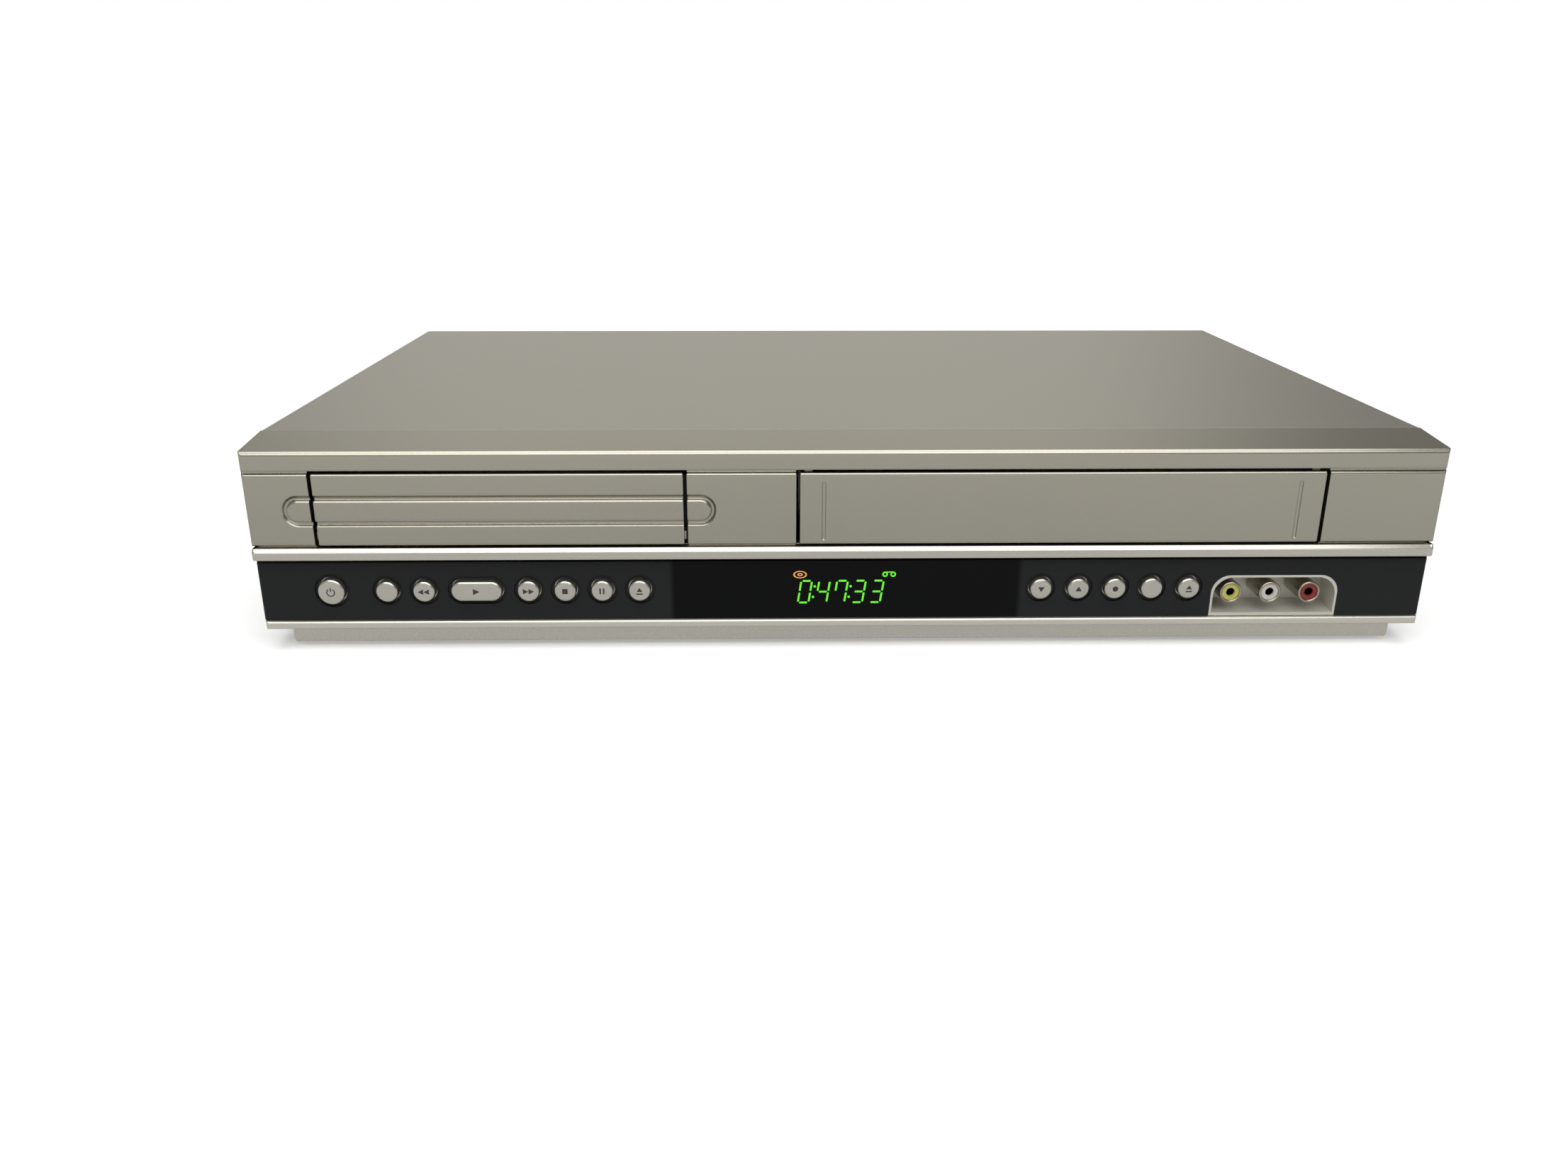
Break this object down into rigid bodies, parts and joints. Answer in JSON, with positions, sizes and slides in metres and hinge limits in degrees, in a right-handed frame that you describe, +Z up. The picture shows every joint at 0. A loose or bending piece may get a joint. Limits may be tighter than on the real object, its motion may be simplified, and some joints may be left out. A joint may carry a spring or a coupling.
{
  "type": "disc and tape combination player",
  "caption": "Flat silver home player with a disc tray and a sprung cassette door over a glossy black panel with round buttons, a clock display and a recess of phono sockets.",
  "frame": {"origin": "on the floor under the middle of the player's overall box, sockets and rail included", "axes": "+X to the right seen from the front, +Y to the back, +Z up"},
  "size_m": [0.435, 0.2742, 0.079],
  "materials": {
    "silver_paint": "satin",
    "silver_plastic": "satin metallic paint",
    "rail_plastic": "satin metallic paint",
    "panel_black": "gloss",
    "key_silver": "satin metallic paint",
    "zinc_steel": "zinc plated",
    "nickel": "bright nickel",
    "rubber_grey": "matt",
    "belt_rubber": "matt",
    "jack_yellow": "moulded",
    "jack_white": "moulded",
    "jack_red": "moulded",
    "socket_black": "moulded",
    "loader_black": "moulded",
    "tray_black": "moulded",
    "gear_white": "moulded acetal",
    "board_green": "solder resist",
    "board_tan": "phenolic",
    "display_glass": "gloss",
    "drum_alloy": "turned",
    "sled_metal": "cast",
    "roller_rubber": "ground",
    "reel_plastic": "moulded"
  },
  "bodies": {
    "case": {"bottom_chassis": "zinc_steel", "top_cover": "silver_paint", "rear_panel": "zinc_steel", "feet": "rubber_grey", "front_bezel": "silver_plastic", "mid_rail": "rail_plastic", "lower_trim": "silver_plastic", "control_panel": "panel_black", "av_recess": "silver_plastic", "front_jack_shells": "nickel", "front_jack_yellow": "jack_yellow", "front_jack_white": "jack_white", "front_jack_red": "jack_red", "front_board": "board_tan", "display_tube": "display_glass", "main_board": "board_green", "power_board": "board_tan", "rear_jack_blocks": "socket_black", "rear_jack_shells": "nickel", "rear_jack_cores": "jack_white", "scart_sockets": "socket_black", "rf_block": "zinc_steel", "mains_inlet": "socket_black", "loader_frame": "loader_black", "drive_belt": "belt_rubber", "loading_motor": "zinc_steel", "spindle_motor": "zinc_steel", "sled_rods": "nickel", "clamper_bridge": "zinc_steel", "tape_deck": "zinc_steel", "lower_drum": "drum_alloy"},
    "disc_tray": {"disc_tray": "tray_black", "tray_front": "silver_plastic"},
    "drive_gear": {"drive_gear": "gear_white"},
    "pulley_gear": {"pulley_gear": "gear_white"},
    "motor_pulley": {"motor_pulley": "gear_white"},
    "turntable": {"turntable": "reel_plastic"},
    "disc_clamper": {"disc_clamper": "reel_plastic"},
    "pickup_sled": {"pickup_sled": "sled_metal"},
    "cassette_flap": {"cassette_flap": "silver_plastic"},
    "cassette_basket": {"cassette_basket": "zinc_steel"},
    "upper_drum": {"upper_drum": "drum_alloy"},
    "capstan": {"capstan": "nickel"},
    "pinch_roller": {"pinch_roller": "roller_rubber"},
    "supply_reel": {"supply_reel": "reel_plastic"},
    "takeup_reel": {"takeup_reel": "reel_plastic"},
    "button_standby": {"button_standby": "key_silver"},
    "button_dubbing": {"button_dubbing": "key_silver"},
    "button_rewind": {"button_rewind": "key_silver"},
    "button_play": {"button_play": "key_silver"},
    "button_fast_forward": {"button_fast_forward": "key_silver"},
    "button_stop": {"button_stop": "key_silver"},
    "button_pause": {"button_pause": "key_silver"},
    "button_tray": {"button_tray": "key_silver"},
    "button_channel_down": {"button_channel_down": "key_silver"},
    "button_channel_up": {"button_channel_up": "key_silver"},
    "button_record": {"button_record": "key_silver"},
    "button_source": {"button_source": "key_silver"},
    "button_eject": {"button_eject": "key_silver"}
  },
  "joints": [
    {"name": "tray_slide", "type": "slide", "parent": "case", "child": "disc_tray", "axis": [0, -1, 0], "range_m": [0, 0.128]},
    {"name": "drive_gear_spin", "type": "hinge", "parent": "case", "child": "drive_gear", "pos_m": [-0.1662, -0.1119, 0.047], "axis": [0, 0, 1], "range_deg": [0, 613]},
    {"name": "pulley_gear_spin", "type": "hinge", "parent": "case", "child": "pulley_gear", "pos_m": [-0.1442, -0.1119, 0.045], "axis": [0, 0, 1], "range_deg": [-1631, 0]},
    {"name": "motor_pulley_spin", "type": "hinge", "parent": "case", "child": "motor_pulley", "pos_m": [-0.10539, -0.10222, 0.045], "axis": [0, 0, 1], "range_deg": [-5253, 0]},
    {"name": "turntable_spin", "type": "hinge", "parent": "case", "child": "turntable", "pos_m": [-0.1262, -0.0664, 0.052], "axis": [0, 0, 1], "continuous": true},
    {"name": "clamper_spin", "type": "hinge", "parent": "case", "child": "disc_clamper", "pos_m": [-0.1262, -0.0664, 0.062], "axis": [0, 0, 1], "continuous": true},
    {"name": "sled_slide", "type": "slide", "parent": "case", "child": "pickup_sled", "axis": [0, 1, 0], "range_m": [0, 0.034]},
    {"name": "flap_hinge", "type": "hinge", "parent": "case", "child": "cassette_flap", "pos_m": [0.0781, -0.1309, 0.0719], "axis": [1, 0, 0], "range_deg": [0, 85], "stiffness_Nm_per_rad": 0.02, "springref_deg": -20.05},
    {"name": "basket_slide", "type": "slide", "parent": "case", "child": "cassette_basket", "axis": [0, 1, 0], "range_m": [0, 0.046]},
    {"name": "drum_spin", "type": "hinge", "parent": "case", "child": "upper_drum", "pos_m": [0.0781, 0.0321, 0.0246], "axis": [0, -0.0976, 0.9952], "continuous": true},
    {"name": "capstan_spin", "type": "hinge", "parent": "case", "child": "capstan", "pos_m": [0.1381, -0.0019, 0.02], "axis": [0, 0, 1], "continuous": true},
    {"name": "pinch_roller_spin", "type": "hinge", "parent": "case", "child": "pinch_roller", "pos_m": [0.1468, -0.0019, 0.03], "axis": [0, 0, 1], "continuous": true},
    {"name": "supply_reel_spin", "type": "hinge", "parent": "case", "child": "supply_reel", "pos_m": [0.0321, -0.0629, 0.025], "axis": [0, 0, 1], "continuous": true},
    {"name": "takeup_reel_spin", "type": "hinge", "parent": "case", "child": "takeup_reel", "pos_m": [0.1241, -0.0629, 0.025], "axis": [0, 0, 1], "continuous": true},
    {"name": "press_standby", "type": "slide", "parent": "case", "child": "button_standby", "axis": [0, 1, 0], "range_m": [0, 0.0008], "stiffness_N_per_m": 400, "springref_m": -0.0004},
    {"name": "press_dubbing", "type": "slide", "parent": "case", "child": "button_dubbing", "axis": [0, 1, 0], "range_m": [0, 0.0008], "stiffness_N_per_m": 400, "springref_m": -0.0004},
    {"name": "press_rewind", "type": "slide", "parent": "case", "child": "button_rewind", "axis": [0, 1, 0], "range_m": [0, 0.0008], "stiffness_N_per_m": 400, "springref_m": -0.0004},
    {"name": "press_play", "type": "slide", "parent": "case", "child": "button_play", "axis": [0, 1, 0], "range_m": [0, 0.0008], "stiffness_N_per_m": 400, "springref_m": -0.0004},
    {"name": "press_fast_forward", "type": "slide", "parent": "case", "child": "button_fast_forward", "axis": [0, 1, 0], "range_m": [0, 0.0008], "stiffness_N_per_m": 400, "springref_m": -0.0004},
    {"name": "press_stop", "type": "slide", "parent": "case", "child": "button_stop", "axis": [0, 1, 0], "range_m": [0, 0.0008], "stiffness_N_per_m": 400, "springref_m": -0.0004},
    {"name": "press_pause", "type": "slide", "parent": "case", "child": "button_pause", "axis": [0, 1, 0], "range_m": [0, 0.0008], "stiffness_N_per_m": 400, "springref_m": -0.0004},
    {"name": "press_tray", "type": "slide", "parent": "case", "child": "button_tray", "axis": [0, 1, 0], "range_m": [0, 0.0008], "stiffness_N_per_m": 400, "springref_m": -0.0004},
    {"name": "press_channel_down", "type": "slide", "parent": "case", "child": "button_channel_down", "axis": [0, 1, 0], "range_m": [0, 0.0008], "stiffness_N_per_m": 400, "springref_m": -0.0004},
    {"name": "press_channel_up", "type": "slide", "parent": "case", "child": "button_channel_up", "axis": [0, 1, 0], "range_m": [0, 0.0008], "stiffness_N_per_m": 400, "springref_m": -0.0004},
    {"name": "press_record", "type": "slide", "parent": "case", "child": "button_record", "axis": [0, 1, 0], "range_m": [0, 0.0008], "stiffness_N_per_m": 400, "springref_m": -0.0004},
    {"name": "press_source", "type": "slide", "parent": "case", "child": "button_source", "axis": [0, 1, 0], "range_m": [0, 0.0008], "stiffness_N_per_m": 400, "springref_m": -0.0004},
    {"name": "press_eject", "type": "slide", "parent": "case", "child": "button_eject", "axis": [0, 1, 0], "range_m": [0, 0.0008], "stiffness_N_per_m": 400, "springref_m": -0.0004}
  ],
  "couplings": [
    {"joint": "drive_gear_spin", "follows": "tray_slide", "rad_per_m": 83.333},
    {"joint": "pulley_gear_spin", "follows": "tray_slide", "rad_per_m": -222.22},
    {"joint": "motor_pulley_spin", "follows": "tray_slide", "rad_per_m": -716.05},
    {"joint": "clamper_spin", "follows": "turntable_spin", "ratio": 1}
  ]
}
